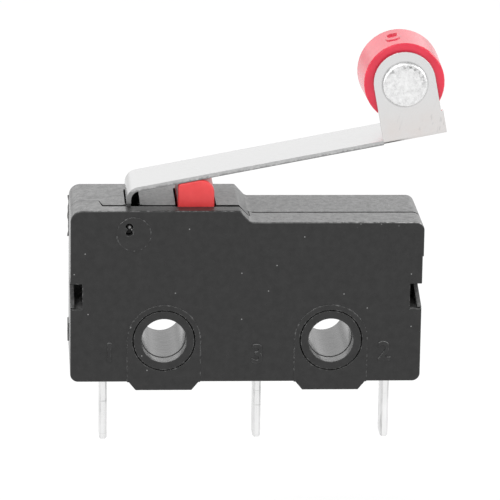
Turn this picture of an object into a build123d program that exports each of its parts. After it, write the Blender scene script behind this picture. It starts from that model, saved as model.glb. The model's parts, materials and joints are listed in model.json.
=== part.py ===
"""Miniature roller-lever snap-action switch with three straight pins.

X runs along the body with the roller at +X, Y runs from the front to the back, Z is up.
The origin lies midway between the two mounting holes, in the middle of the body's thickness.
All sizes are in millimetres and angles in degrees. The lever is modelled in its free position.
"""
from build123d import *
import os
from math import cos, radians, sin, tan

# Housing
HOLE_SPACING = 9.5
BORE_DIAMETER = 2.5
BORE_MOUTH_DIAMETER = 2.56
BORE_MOUTH_DEPTH = 1.0
BOSS_DIAMETER = 3.44
BOSS_GAP = 0.07
BODY_THICKNESS = 6.4
LEFT_MARGIN = 5.31
RIGHT_MARGIN = 5.2
TOP_HEIGHT = 7.59
TOP_STEP = 0.67
SLOPE_RUN = 0.62
BOTTOM_DEPTH = 2.455
FOOT_DROP = 0.47
FOOT_ROOT_WIDTH = 3.96
FOOT_END_WIDTH = 3.18
PAD_WIDTH = 4.16
PAD_RISE = 0.05
PLATE = 0.95
TOP_WALL = 0.8
END_WALL = 1.0
FLOOR_WALL = 0.8
TONGUE_SEAM_DEPTH = 1.42
TONGUE_LEFT_MARGIN = 1.65
TONGUE_SKEW = 0.2
TONGUE_GAP = 0.28
TONGUE_RIGHT_GAP = 0.4
TONGUE_SLOPE_GAP = 0.08
TONGUE_END_GAP = 0.02
SEAM_GAP = 0.04
SEAM_GROOVE_WIDTH = 0.18
SEAM_GROOVE_DEPTH = 0.3
SIDE_STEP = 0.06
SIDE_STEP_BELOW_TOP = 2.69
LOW_CORNER_RADIUS = 0.5
HIGH_CORNER_RADIUS = 0.65
BOTTOM_CORNER_RADIUS = 0.45
SLOPE_BASE_RADIUS = 0.35
SLOPE_TOP_RADIUS = 0.15
EDGE_RADIUS = 0.1

# Latches at both ends of the housing
LATCH_NOTCH_DEPTH = 0.69
LATCH_NOTCH_BOTTOM = 1.82
LATCH_NOTCH_HEIGHT = 1.5
LATCH_REACH = 2.2
LATCH_HEIGHT = 0.75
LATCH_TIP_HEIGHT = 0.06
LATCH_THICKNESS = 0.24
LATCH_GAP = 0.04
LATCH_POCKET_DEPTH = 1.2

# Small marks of the moulding tool
GATE_STUB_RISE = 0.1
GATE_STUB_BOTTOM = -1.05
GATE_STUB_HEIGHT = 1.06
GATE_STUB_WIDTH = 1.2
GATE_STUB_FROM_SEAM = 1.2
EJECTOR_PAD_DIAMETER = 1.94
EJECTOR_PAD_OFFSET = 0.26

# Lever
LEVER_RISE = 11.0
LEVER_TRAVEL = 13.0
LEVER_THICKNESS = 0.25
LEVER_WIDTH = 4.2
LEVER_HEIGHT = 1.82
LEVER_BEND_RADIUS = 0.75
PIVOT_FROM_HOLE = 2.0
PIVOT_BELOW_TOP = 1.09
TAB_WIDTH = 3.1
TAB_SHOULDER_GAP = 0.16
LUG_HEIGHT = 0.5
LUG_END_GAP = 0.25
PIVOT_SLOT_WIDTH = 0.42
PIVOT_SLOT_HEIGHT = 0.76
LEVER_SLOT_LEFT_GAP = 0.085
LEVER_SLOT_RIGHT_GAP = 0.515
LEVER_SLOT_END_GAP = 0.2
LEVER_SLOT_MOUTH = 0.1
EAR_START = 15.0
EAR_WIDTH = 3.5
EAR_ROOT_STEP = 0.12
EAR_ROOT_HEIGHT = 1.35
EAR_BEND_RADIUS = 0.28
EAR_CROWN_RISE = 0.1

# Roller and its rivet
ROLLER_DIAMETER = 4.74
ROLLER_WIDTH = 3.5
ROLLER_DRAFT = 1.5
ROLLER_CHAMFER = 0.06
ROLLER_LEVER_GAP = 0.62
ROLLER_SIDE_GAP = 0.1
ROLLER_BORE_GAP = 0.05
RIVET_SHANK_DIAMETER = 1.5
RIVET_HEAD_DIAMETER = 2.52
RIVET_HEAD_HEIGHT = 0.28
RIVET_HEAD_EDGE = 0.12
RIVET_TAIL_DIAMETER = 2.6
RIVET_TAIL_HEIGHT = 0.32
RIVET_TAIL_GAP = 0.05
EAR_HOLE_GAP = 0.02

# Plunger
PLUNGER_FROM_HOLE = 1.8
PLUNGER_WIDTH = 2.06
PLUNGER_PLATE_GAP = 0.1
PLUNGER_CONTACT_ARM = 4.32
PLUNGER_LEVER_GAP = 0.02
PLUNGER_CROWN_RADIUS = 0.75
PLUNGER_EDGE_RADIUS = 0.12
PLUNGER_OPENING_GAP = 0.12
OPENING_CORNER_RADIUS = 0.3
FLANGE_OVERHANG = 0.47
FLANGE_SHARE = 0.667
FLANGE_TOP_GAP = 0.04
GUIDE_GAP = 0.05
GUIDE_RIB_WIDTH = 0.7
GUIDE_RIB_FRONT_GAP = 0.5
STOP_FOOT_WIDTH = 0.4
STOP_FOOT_BLADE_GAP = 0.09
STOP_GAP = 0.07
SLOPE_FROM_GUIDE = 0.18
NOSE_WIDTH = 1.0
NOSE_DEPTH = 2.8
NOSE_FORK_GAP = 1.6
NOSE_BLADE_GAP = 0.02

# Terminals
OPEN_PIN_X = 0.75
COMMON_PITCH = 8.88
CLOSED_PITCH = 7.4
PIN_THICKNESS = 0.44
PIN_WIDTH = 1.6
PIN_LENGTH = 4.15
COMMON_PIN_EXTRA = 0.08
PIN_TIP_RADIUS = 0.3
PIN_TIP_CHAMFER = 0.1
PIN_GAP = 0.03
STRIP_BEND_RADIUS = 0.42
GRIP_THICKNESS = 0.75
GRIP_BELOW_TONGUE = 0.62
GRIP_SHOULDER_GAP = 0.05
SHELF_GAP = 0.03
SHELF_SHARE = 0.62

# Snap mechanism
CONTACT_X = 6.1
BLADE_THICKNESS = 0.12
BLADE_WIDTH = 2.8
BLADE_TIP_WIDTH = 2.0
BLADE_OVERHANG = 0.85
BLADE_WINDOW_WIDTH = 1.5
BLADE_WINDOW_START = 1.4
BLADE_WINDOW_END = 7.7
CONTACT_DIAMETER = 1.6
CONTACT_SHANK_DIAMETER = 0.9
CONTACT_SHANK_GAP = 0.02
FIXED_CONTACT_HEIGHT = 0.3
MOVING_CONTACT_TOP = 0.37
MOVING_CONTACT_BOTTOM = 0.34
CLOSED_CONTACT_GAP = 0.02
OPEN_CONTACT_GAP = 0.5
LEG_RISE = 0.55
LEG_GAP = 0.03
LEG_PLATE_GAP = 0.5
HOOK_DEPTH = 0.12
HOOK_HEIGHT = 0.2
HOOK_GAP = 0.02
POST_REACH = 3.51
POST_TOP_BELOW_BLADE = 0.75
TONGUE_WIDTH = 1.5
TONGUE_SHARE = 0.58
SPRING_THICKNESS = 0.12
SPRING_WIDTH = 1.3
SPRING_LEFT_DROP = 1.05
SPRING_BOW = 0.55
SPRING_END_GAP = 0.06

# Planes and places that follow from the sizes
FRONT_PAD = -BODY_THICKNESS / 2
BACK_PAD = BODY_THICKNESS / 2
FRONT_FACE = FRONT_PAD + PAD_RISE
BACK_FACE = BACK_PAD - PAD_RISE
FRONT_INNER = FRONT_FACE + PLATE
BACK_INNER = BACK_FACE - PLATE
SEAM_Y = -PIN_WIDTH / 2
TONGUE_SEAM_Y = FRONT_PAD + TONGUE_SEAM_DEPTH
LEFT_HOLE = -HOLE_SPACING / 2
RIGHT_HOLE = HOLE_SPACING / 2
BODY_LEFT = LEFT_HOLE - LEFT_MARGIN
BODY_RIGHT = RIGHT_HOLE + RIGHT_MARGIN
LOW_TOP = TOP_HEIGHT - TOP_STEP
BOTTOM = -BOTTOM_DEPTH
FLOOR = BOTTOM + FLOOR_WALL
ROOF = TOP_HEIGHT - TOP_WALL
LOW_ROOF = LOW_TOP - TOP_WALL
BOSS_RADIUS = BOSS_DIAMETER / 2
SIDE_STEP_Z = TOP_HEIGHT - SIDE_STEP_BELOW_TOP

PLUNGER_X = LEFT_HOLE + PLUNGER_FROM_HOLE
PLUNGER_LEFT = PLUNGER_X - PLUNGER_WIDTH / 2
PLUNGER_RIGHT = PLUNGER_X + PLUNGER_WIDTH / 2
PLUNGER_DEPTH = BACK_INNER - FRONT_INNER - 2 * PLUNGER_PLATE_GAP
PLUNGER_TRAVEL = PLUNGER_CONTACT_ARM * radians(LEVER_TRAVEL)
FLANGE_WIDTH = PLUNGER_WIDTH + 2 * FLANGE_OVERHANG
SLOPE_TOP_X = PLUNGER_X + FLANGE_WIDTH / 2 + GUIDE_GAP + GUIDE_RIB_WIDTH + SLOPE_FROM_GUIDE
SLOPE_BASE_X = SLOPE_TOP_X + SLOPE_RUN

PIVOT_X = LEFT_HOLE - PIVOT_FROM_HOLE
PIVOT_Z = TOP_HEIGHT - PIVOT_BELOW_TOP
RISE_SIN = sin(radians(LEVER_RISE))
RISE_COS = cos(radians(LEVER_RISE))
SLOT_LEFT = PIVOT_X - LEVER_THICKNESS / 2 - LEVER_SLOT_LEFT_GAP
SLOT_RIGHT = PIVOT_X + LEVER_THICKNESS / 2 + LEVER_SLOT_RIGHT_GAP
LEVER_MIDDLE = LEVER_HEIGHT + LEVER_THICKNESS / 2
EAR_END = EAR_START + EAR_WIDTH
EAR_OUTSIDE = -LEVER_WIDTH / 2
EAR_INSIDE = EAR_OUTSIDE + LEVER_THICKNESS
ROLLER_ALONG = EAR_START + EAR_WIDTH / 2
ROLLER_ABOVE = LEVER_HEIGHT + LEVER_THICKNESS + ROLLER_LEVER_GAP + ROLLER_DIAMETER / 2
ROLLER_FRONT = EAR_INSIDE + ROLLER_SIDE_GAP
ROLLER_BACK = ROLLER_FRONT + ROLLER_WIDTH

OPEN_X = OPEN_PIN_X
COMMON_X = OPEN_X - COMMON_PITCH
CLOSED_X = OPEN_X + CLOSED_PITCH
PIN_BOTTOM = BOTTOM - PIN_LENGTH
LEG_SHOULDER_WIDTH = BACK_INNER - FRONT_INNER - 2 * LEG_PLATE_GAP
MECHANISM_HEIGHT = (
    SHELF_GAP + 2 * PIN_THICKNESS + 2 * FIXED_CONTACT_HEIGHT + OPEN_CONTACT_GAP + CLOSED_CONTACT_GAP
    + MOVING_CONTACT_TOP + BLADE_THICKNESS + MOVING_CONTACT_BOTTOM
)
SHELF_RISE = SHELF_SHARE * (LOW_ROOF - BOSS_RADIUS - MECHANISM_HEIGHT)
OPEN_STRIP_Z = BOSS_RADIUS + SHELF_RISE + SHELF_GAP + PIN_THICKNESS / 2
TONGUE_Z = BOSS_RADIUS + TONGUE_SHARE * SHELF_RISE + SHELF_GAP + PIN_THICKNESS / 2
GRIP_TOP = TONGUE_Z - GRIP_BELOW_TONGUE
MOVING_BOTTOM = OPEN_STRIP_Z + PIN_THICKNESS / 2 + FIXED_CONTACT_HEIGHT + OPEN_CONTACT_GAP
BLADE_Z = MOVING_BOTTOM + MOVING_CONTACT_BOTTOM + BLADE_THICKNESS / 2
BLADE_TOP = BLADE_Z + BLADE_THICKNESS / 2
BLADE_BOTTOM = BLADE_Z - BLADE_THICKNESS / 2
MOVING_TOP = BLADE_TOP + MOVING_CONTACT_TOP
CLOSED_STRIP_Z = MOVING_TOP + CLOSED_CONTACT_GAP + FIXED_CONTACT_HEIGHT + PIN_THICKNESS / 2
LEG_FACE_X = COMMON_X + PIN_THICKNESS / 2
BLADE_LEFT = LEG_FACE_X - HOOK_DEPTH + HOOK_GAP
WINDOW_LEFT = LEG_FACE_X + BLADE_WINDOW_START
WINDOW_RIGHT = LEG_FACE_X + BLADE_WINDOW_END
POST_X = COMMON_X + POST_REACH

FLANGE_TOP = ROOF - FLANGE_TOP_GAP
GUIDE_SPARE = FLANGE_TOP - PLUNGER_TRAVEL - STOP_GAP - STOP_FOOT_BLADE_GAP - BLADE_TOP
FLANGE_BOTTOM = FLANGE_TOP - FLANGE_SHARE * GUIDE_SPARE
STOP_Z = FLANGE_BOTTOM - PLUNGER_TRAVEL - STOP_GAP
STOP_FOOT_BOTTOM = BLADE_TOP + STOP_FOOT_BLADE_GAP

HOLES = [(LEFT_HOLE, 0), (RIGHT_HOLE, 0)]
BEYOND = 1.0


def section_at(y):
    """The X-Z drawing plane at depth y. An extrusion from it runs towards the front."""
    return Plane.XZ.offset(-y)


def lever_section_at(y):
    """The same for the lever: its origin is the pivot and its first axis lies along the strip."""
    return Plane(origin=(PIVOT_X, y, PIVOT_Z), x_dir=(RISE_COS, 0, RISE_SIN), z_dir=(0, -1, 0))


def lever_underside(x):
    """Height of the free lever's lower face above the point x."""
    return PIVOT_Z + (x - PIVOT_X) * tan(radians(LEVER_RISE)) + LEVER_HEIGHT / RISE_COS


def draw_outline(*points, radius=0):
    """A closed outline with straight sides, its corners rounded where a radius is given."""
    with BuildLine() as outline:
        FilletPolyline(*points, radius=radius, close=True)
    make_face(outline.edges())


def draw_box(left, right, bottom, top):
    """A rectangle given by its sides."""
    with Locations(((left + right) / 2, (bottom + top) / 2)):
        Rectangle(right - left, top - bottom)


def draw_strip(*middle, width=PIN_THICKNESS, radius=STRIP_BEND_RADIUS):
    """The section of a bent strip of even thickness, drawn along its middle line."""
    with BuildLine() as middle_line:
        FilletPolyline(*middle, radius=radius)
    trace(middle_line.edges(), line_width=width)


def draw_housing_outline():
    """The body seen from the front, with its two feet, raised top and side step."""
    points = [(BODY_LEFT, BOTTOM)]
    radii = [BOTTOM_CORNER_RADIUS]
    for hole_x, _ in HOLES:
        points += [
            (hole_x - FOOT_ROOT_WIDTH / 2, BOTTOM),
            (hole_x - FOOT_END_WIDTH / 2, BOTTOM - FOOT_DROP),
            (hole_x + FOOT_END_WIDTH / 2, BOTTOM - FOOT_DROP),
            (hole_x + FOOT_ROOT_WIDTH / 2, BOTTOM),
        ]
        radii += [0, 0, 0, 0]
    points += [
        (BODY_RIGHT - SIDE_STEP, BOTTOM),
        (BODY_RIGHT - SIDE_STEP, SIDE_STEP_Z),
        (BODY_RIGHT, SIDE_STEP_Z),
        (BODY_RIGHT, LOW_TOP),
        (SLOPE_BASE_X, LOW_TOP),
        (SLOPE_TOP_X, TOP_HEIGHT),
        (BODY_LEFT, TOP_HEIGHT),
    ]
    radii += [BOTTOM_CORNER_RADIUS, 0, 0, LOW_CORNER_RADIUS]
    radii += [SLOPE_BASE_RADIUS, SLOPE_TOP_RADIUS, HIGH_CORNER_RADIUS]
    draw_outline(*points, radius=radii)


def draw_cavity():
    """The hollow inside the housing walls."""
    draw_outline(
        (BODY_LEFT + END_WALL, FLOOR),
        (BODY_RIGHT - END_WALL, FLOOR),
        (BODY_RIGHT - END_WALL, LOW_ROOF),
        (SLOPE_BASE_X - TOP_WALL / 2, LOW_ROOF),
        (SLOPE_TOP_X - TOP_WALL / 2, ROOF),
        (BODY_LEFT + END_WALL, ROOF),
    )


def draw_mounting_pads():
    """The arched pad round each mounting hole, with the face of its foot."""
    for hole_x, hole_z in HOLES:
        with Locations((hole_x, hole_z)):
            Circle(PAD_WIDTH / 2)
            Rectangle(PAD_WIDTH, BOTTOM_DEPTH, align=(Align.CENTER, Align.MAX))
        draw_outline(
            (hole_x - FOOT_ROOT_WIDTH / 2, BOTTOM),
            (hole_x - FOOT_END_WIDTH / 2, BOTTOM - FOOT_DROP),
            (hole_x + FOOT_END_WIDTH / 2, BOTTOM - FOOT_DROP),
            (hole_x + FOOT_ROOT_WIDTH / 2, BOTTOM),
        )


def draw_pivot_slot():
    """The upright slot in which a lug of the lever turns."""
    with Locations((PIVOT_X, PIVOT_Z)):
        SlotOverall(PIVOT_SLOT_HEIGHT, PIVOT_SLOT_WIDTH, rotation=90)


def draw_latch_notch(end_x, inward):
    """The notch in the cover's end that a latch of the case reaches into."""
    sides = (end_x + inward * LATCH_NOTCH_DEPTH, end_x - inward * BEYOND)
    draw_box(min(sides), max(sides), LATCH_NOTCH_BOTTOM, LATCH_NOTCH_BOTTOM + LATCH_NOTCH_HEIGHT)


# Case: the rear half of the housing, with the bosses, grips, guides and latches
with BuildPart() as case:
    with BuildSketch(section_at(BACK_FACE)):
        draw_housing_outline()
    extrude(amount=BACK_FACE - SEAM_Y)
    fillet(case.faces().sort_by(Axis.Y)[-1].edges(), EDGE_RADIUS)
    with BuildSketch(section_at(BACK_PAD)):
        draw_mounting_pads()
    extrude(amount=PAD_RISE + EDGE_RADIUS)
    with BuildSketch(section_at(BACK_INNER)):
        draw_cavity()
    extrude(amount=BACK_INNER - SEAM_Y, mode=Mode.SUBTRACT)

    # The tongue of the top wall that reaches into the cover
    with BuildSketch(section_at(SEAM_Y)):
        draw_outline(
            (BODY_LEFT + TONGUE_LEFT_MARGIN, TOP_HEIGHT),
            (BODY_LEFT + TONGUE_LEFT_MARGIN, ROOF),
            (SLOPE_TOP_X - TOP_WALL / 2, ROOF),
            (SLOPE_BASE_X - TOP_WALL / 2, LOW_ROOF),
            (SLOPE_BASE_X, LOW_ROOF),
            (SLOPE_BASE_X, LOW_TOP),
            (SLOPE_TOP_X, TOP_HEIGHT),
        )
    extrude(amount=SEAM_Y - TONGUE_SEAM_Y)
    with BuildSketch(Plane.XY.offset(ROOF - BEYOND)):
        draw_outline(
            (BODY_LEFT + TONGUE_LEFT_MARGIN, SEAM_Y),
            (BODY_LEFT + TONGUE_LEFT_MARGIN, TONGUE_SEAM_Y),
            (BODY_LEFT + TONGUE_LEFT_MARGIN + TONGUE_SKEW, TONGUE_SEAM_Y),
        )
    extrude(amount=TOP_WALL + 2 * BEYOND, mode=Mode.SUBTRACT)

    # Shelves that carry the inner runs of the terminals, and grips either side of each pin
    with BuildSketch(section_at(BACK_INNER)):
        draw_box(
            LEFT_HOLE - BOSS_RADIUS, LEFT_HOLE + BOSS_RADIUS,
            FLOOR, TONGUE_Z - PIN_THICKNESS / 2 - SHELF_GAP,
        )
        draw_box(
            RIGHT_HOLE - BOSS_RADIUS, RIGHT_HOLE + BOSS_RADIUS,
            FLOOR, OPEN_STRIP_Z - PIN_THICKNESS / 2 - SHELF_GAP,
        )
        for pin_x in (COMMON_X, OPEN_X, CLOSED_X):
            half_grip = PIN_THICKNESS / 2 + PIN_GAP + GRIP_THICKNESS
            draw_box(pin_x - half_grip, pin_x + half_grip, FLOOR, GRIP_TOP)
    extrude(amount=BACK_INNER - SEAM_Y)

    # Guide ribs either side of the plunger's flange, with the feet that stop it
    with BuildSketch(section_at(BACK_INNER)):
        for side in (-1, 1):
            guide_x = PLUNGER_X + side * (FLANGE_WIDTH / 2 + GUIDE_GAP)
            outer_x = guide_x + side * GUIDE_RIB_WIDTH
            foot_x = guide_x - side * STOP_FOOT_WIDTH
            rib_sides = min(guide_x, outer_x), max(guide_x, outer_x)
            draw_box(*rib_sides, STOP_FOOT_BOTTOM, ROOF + TOP_WALL / 4)
            draw_box(min(foot_x, outer_x), max(foot_x, outer_x), STOP_FOOT_BOTTOM, STOP_Z)
    extrude(amount=BACK_INNER - FRONT_INNER - GUIDE_RIB_FRONT_GAP)

    # Bosses that pass through the cover, latches and the stub of the moulding gate
    with BuildSketch(section_at(BACK_INNER)):
        with Locations(*HOLES):
            Circle(BOSS_RADIUS)
    extrude(amount=BACK_INNER - FRONT_PAD)
    for latch_left in (BODY_LEFT, BODY_RIGHT - SIDE_STEP - LATCH_THICKNESS):
        latch_bottom = LATCH_NOTCH_BOTTOM + LATCH_GAP
        with BuildSketch(Plane.YZ.offset(latch_left)):
            draw_outline(
                (SEAM_Y, latch_bottom),
                (SEAM_Y, latch_bottom + LATCH_HEIGHT),
                (SEAM_Y - LATCH_REACH, latch_bottom + LATCH_TIP_HEIGHT),
                (SEAM_Y - LATCH_REACH, latch_bottom),
            )
        extrude(amount=LATCH_THICKNESS)
    with BuildSketch(section_at(SEAM_Y + GATE_STUB_FROM_SEAM + GATE_STUB_WIDTH)):
        draw_box(
            BODY_LEFT - GATE_STUB_RISE, BODY_LEFT + END_WALL / 2,
            GATE_STUB_BOTTOM, GATE_STUB_BOTTOM + GATE_STUB_HEIGHT,
        )
    extrude(amount=GATE_STUB_WIDTH)

    # Pockets beside the latches, where the cover's notches end
    with BuildSketch(section_at(SEAM_Y + LATCH_POCKET_DEPTH)):
        for pocket_inner in (BODY_LEFT + LATCH_NOTCH_DEPTH, BODY_RIGHT - SIDE_STEP - LATCH_THICKNESS):
            pocket_width = LATCH_NOTCH_DEPTH - LATCH_THICKNESS
            draw_box(
                pocket_inner - pocket_width, pocket_inner,
                LATCH_NOTCH_BOTTOM, LATCH_NOTCH_BOTTOM + LATCH_NOTCH_HEIGHT,
            )
    extrude(amount=LATCH_POCKET_DEPTH, mode=Mode.SUBTRACT)

    # Mounting bores, pin slots, pivot slot, lever slot and plunger opening
    with BuildSketch(section_at(BACK_PAD)):
        with Locations(*HOLES):
            Circle(BORE_DIAMETER / 2)
    extrude(amount=BODY_THICKNESS, mode=Mode.SUBTRACT)
    with BuildSketch(section_at(FRONT_PAD + BORE_MOUTH_DEPTH)):
        with Locations(*HOLES):
            Circle(BORE_MOUTH_DIAMETER / 2)
    extrude(amount=BORE_MOUTH_DEPTH, mode=Mode.SUBTRACT)
    with BuildSketch(section_at(PIN_WIDTH / 2 + PIN_GAP)):
        for pin_x in (COMMON_X, OPEN_X, CLOSED_X):
            half_slot = PIN_THICKNESS / 2 + PIN_GAP
            draw_box(pin_x - half_slot, pin_x + half_slot, BOTTOM - BEYOND, GRIP_TOP + BEYOND / 2)
    extrude(amount=PIN_WIDTH / 2 + PIN_GAP - SEAM_Y, mode=Mode.SUBTRACT)
    with BuildSketch(section_at(BACK_FACE)):
        draw_pivot_slot()
    extrude(amount=PLATE, mode=Mode.SUBTRACT)
    with BuildSketch(section_at(TAB_WIDTH / 2 + LEVER_SLOT_END_GAP)):
        draw_box(SLOT_LEFT, SLOT_RIGHT, ROOF - BEYOND / 2, TOP_HEIGHT + BEYOND)
    extrude(amount=BODY_THICKNESS, mode=Mode.SUBTRACT)
    with BuildSketch(section_at(TONGUE_SEAM_Y + LEVER_SLOT_MOUTH)):
        draw_box(
            SLOT_LEFT - LEVER_SLOT_MOUTH, SLOT_RIGHT + LEVER_SLOT_MOUTH,
            ROOF - BEYOND / 2, TOP_HEIGHT + BEYOND,
        )
    extrude(amount=LEVER_SLOT_MOUTH, mode=Mode.SUBTRACT)
    with BuildSketch(Plane.XY.offset(ROOF - BEYOND / 4)):
        with Locations((PLUNGER_X, BACK_INNER)):
            RectangleRounded(
                PLUNGER_WIDTH + 2 * PLUNGER_OPENING_GAP,
                2 * PLUNGER_DEPTH,
                OPENING_CORNER_RADIUS,
                align=(Align.CENTER, Align.MAX),
            )
    extrude(amount=TOP_WALL + BEYOND, mode=Mode.SUBTRACT)
case.part.label = "case"

# Cover: the front half of the housing
with BuildPart() as cover:
    cover_seam = SEAM_Y - SEAM_GAP
    with BuildSketch(section_at(cover_seam)):
        draw_housing_outline()
    extrude(amount=cover_seam - FRONT_FACE)
    fillet(cover.faces().sort_by(Axis.Y)[0].edges(), EDGE_RADIUS)
    with BuildSketch(section_at(FRONT_FACE + EDGE_RADIUS)):
        draw_mounting_pads()
        with Locations((PIVOT_X + EJECTOR_PAD_OFFSET, PIVOT_Z - EJECTOR_PAD_OFFSET)):
            Circle(EJECTOR_PAD_DIAMETER / 2)
    extrude(amount=PAD_RISE + EDGE_RADIUS)
    with BuildSketch(section_at(cover_seam)):
        draw_cavity()
    extrude(amount=cover_seam - FRONT_INNER, mode=Mode.SUBTRACT)

    # Room for the tongue of the case's top wall
    with BuildSketch(Plane.XY.offset(LOW_ROOF - BEYOND)):
        pocket_left = BODY_LEFT + TONGUE_LEFT_MARGIN - SEAM_GAP
        draw_outline(
            (pocket_left, SEAM_Y),
            (pocket_left + TONGUE_SKEW, TONGUE_SEAM_Y - TONGUE_GAP),
            (PLUNGER_X, TONGUE_SEAM_Y - TONGUE_GAP),
            (PLUNGER_X, TONGUE_SEAM_Y - TONGUE_RIGHT_GAP),
            (SLOPE_TOP_X, TONGUE_SEAM_Y - TONGUE_RIGHT_GAP),
            (SLOPE_BASE_X + TONGUE_END_GAP, TONGUE_SEAM_Y - TONGUE_SLOPE_GAP),
            (SLOPE_BASE_X + TONGUE_END_GAP, SEAM_Y),
        )
    extrude(amount=TOP_HEIGHT - LOW_ROOF + 2 * BEYOND, mode=Mode.SUBTRACT)

    # The wider joint on the low part of the top
    with BuildSketch(Plane.XY.offset(LOW_TOP - SEAM_GROOVE_DEPTH)):
        draw_box(
            SLOPE_BASE_X + SLOPE_BASE_RADIUS / 2, BODY_RIGHT + BEYOND,
            SEAM_Y - SEAM_GROOVE_WIDTH, SEAM_Y,
        )
    extrude(amount=TOP_STEP, mode=Mode.SUBTRACT)

    # Boss holes, pivot slot, latch notches and the plunger opening
    with BuildSketch(section_at(SEAM_Y)):
        with Locations(*HOLES):
            Circle(BOSS_RADIUS + BOSS_GAP)
        draw_pivot_slot()
    extrude(amount=SEAM_Y - FRONT_PAD + BEYOND, mode=Mode.SUBTRACT)
    with BuildSketch(section_at(SEAM_Y)):
        draw_latch_notch(BODY_LEFT, 1)
        draw_latch_notch(BODY_RIGHT - SIDE_STEP, -1)
    extrude(amount=SEAM_Y - FRONT_PAD + BEYOND, mode=Mode.SUBTRACT)
    with BuildSketch(Plane.XY.offset(ROOF - BEYOND / 4)):
        opening_half = PLUNGER_WIDTH / 2 + PLUNGER_OPENING_GAP
        draw_box(PLUNGER_X - opening_half, PLUNGER_X + opening_half, FRONT_INNER, BACK_INNER)
    extrude(amount=TOP_WALL + BEYOND, mode=Mode.SUBTRACT)
cover.part.label = "cover"

# Plunger: the moulded button, with the flange that holds it in and the forked nose
with BuildPart() as plunger:
    nose_tip = BLADE_TOP + NOSE_BLADE_GAP
    with BuildSketch(section_at(PLUNGER_DEPTH / 2)):
        draw_outline(
            (PLUNGER_LEFT, FLANGE_BOTTOM),
            (PLUNGER_LEFT, lever_underside(PLUNGER_LEFT) - PLUNGER_LEVER_GAP),
            (PLUNGER_RIGHT, lever_underside(PLUNGER_RIGHT) - PLUNGER_LEVER_GAP),
            (PLUNGER_RIGHT, FLANGE_BOTTOM),
            radius=[0, PLUNGER_EDGE_RADIUS, PLUNGER_CROWN_RADIUS, 0],
        )
    extrude(amount=PLUNGER_DEPTH)
    fillet(plunger.edges().filter_by(Axis.Z), PLUNGER_EDGE_RADIUS)
    with BuildSketch(section_at(PLUNGER_DEPTH / 2)):
        flange_half = FLANGE_WIDTH / 2
        draw_box(PLUNGER_X - flange_half, PLUNGER_X + flange_half, FLANGE_BOTTOM, FLANGE_TOP)
    extrude(amount=PLUNGER_DEPTH)
    with BuildSketch(section_at(NOSE_DEPTH / 2)):
        draw_box(PLUNGER_X - NOSE_WIDTH / 2, PLUNGER_X + NOSE_WIDTH / 2, nose_tip, FLANGE_BOTTOM)
    extrude(amount=NOSE_DEPTH)
    with BuildSketch(section_at(NOSE_FORK_GAP / 2)):
        draw_box(PLUNGER_X - NOSE_WIDTH, PLUNGER_X + NOSE_WIDTH, nose_tip - BEYOND, FLANGE_BOTTOM)
    extrude(amount=NOSE_FORK_GAP, mode=Mode.SUBTRACT)
plunger.part.label = "plunger"

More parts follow.
